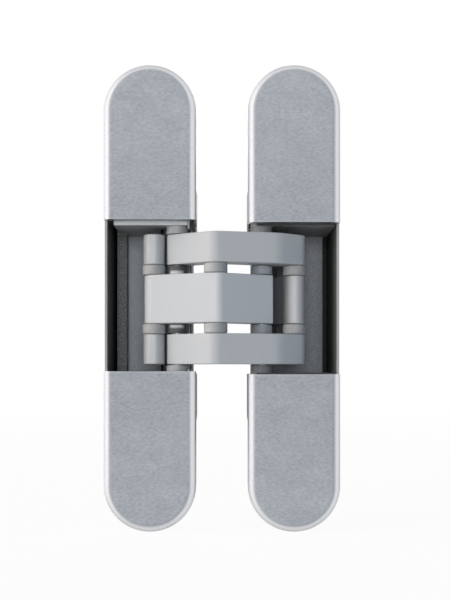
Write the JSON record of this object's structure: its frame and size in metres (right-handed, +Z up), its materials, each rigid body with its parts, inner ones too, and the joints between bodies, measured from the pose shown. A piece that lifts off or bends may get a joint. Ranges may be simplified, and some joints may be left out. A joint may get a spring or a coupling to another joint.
{
  "type": "concealed door hinge",
  "caption": "Concealed door hinge: slim round-ended mortise halves with bevelled covers, joined by crossed bent arms on pins that fold into the pockets as the door shuts.",
  "frame": {"origin": "middle of the frame half's fixing screws, on the back face of its flange", "axes": "+Z up along the hinge's length, +X from the frame half to the door half, +Y into the wood; the covers face -Y"},
  "size_m": [0.0563, 0.0263, 0.111],
  "materials": {
    "cover": "fine satin brushed",
    "housing": "dark matt die-cast coating",
    "carrier": "dark grey textured die-cast coating",
    "arm": "light grey satin coating",
    "link": "glossy turned steel",
    "pin": "ground steel",
    "washer": "pale bearing plastic",
    "screw": "zinc plated"
  },
  "bodies": {
    "frame_half": {"frame_housing": "housing", "frame_carrier": "carrier", "frame_cover_upper": "cover", "frame_cover_lower": "cover", "frame_clamp_screws": "screw", "frame_pivot_pin_upper": "pin", "frame_pivot_pin_lower": "pin"},
    "outer_arms": {"outer_arm_upper": "arm", "outer_arm_lower": "arm", "centre_pin": "pin", "centre_washers": "washer", "door_link_pin": "pin", "door_link_washers": "washer"},
    "centre_arm": {"centre_arm": "arm", "frame_link_pin": "pin", "frame_link_washers": "washer"},
    "door_half": {"door_housing": "housing", "door_carrier": "carrier", "door_cover_upper": "cover", "door_cover_lower": "cover", "door_clamp_screws": "screw", "door_pivot_pin": "pin"},
    "frame_links": {"frame_link_upper": "link", "frame_link_lower": "link", "frame_anchor_pin_upper": "pin", "frame_anchor_pin_lower": "pin"},
    "door_link": {"door_link": "link", "door_anchor_pin": "pin"}
  },
  "joints": [
    {"name": "outer_arm_pivot", "type": "hinge", "parent": "frame_half", "child": "outer_arms", "pos_m": [0.00625, -0.0014, 0], "axis": [0, 0, -1], "range_deg": [0, 105.27]},
    {"name": "cross_pivot", "type": "hinge", "parent": "outer_arms", "child": "centre_arm", "pos_m": [0.01565, -0.0067, 0], "axis": [0, 0, 1], "range_deg": [0, 34.79]},
    {"name": "door_pivot", "type": "hinge", "parent": "centre_arm", "child": "door_half", "pos_m": [0.02675, -0.0012, 0], "axis": [0, 0, -1], "range_deg": [0, 109.51]},
    {"name": "frame_link_pivot", "type": "hinge", "parent": "centre_arm", "child": "frame_links", "pos_m": [0.0007, -0.0018, 0], "axis": [0, 0, -1], "range_deg": [0, 17.07]},
    {"name": "door_link_pivot", "type": "hinge", "parent": "outer_arms", "child": "door_link", "pos_m": [0.0348, -0.0008, 0], "axis": [0, 0, -1], "range_deg": [0, 2.65]}
  ],
  "couplings": [
    {"joint": "cross_pivot", "follows": "outer_arm_pivot", "ratio": 0.33027},
    {"joint": "door_pivot", "follows": "outer_arm_pivot", "ratio": 1.0401},
    {"joint": "frame_link_pivot", "follows": "outer_arm_pivot", "ratio": 0.162},
    {"joint": "door_link_pivot", "follows": "outer_arm_pivot", "ratio": 0.025}
  ]
}
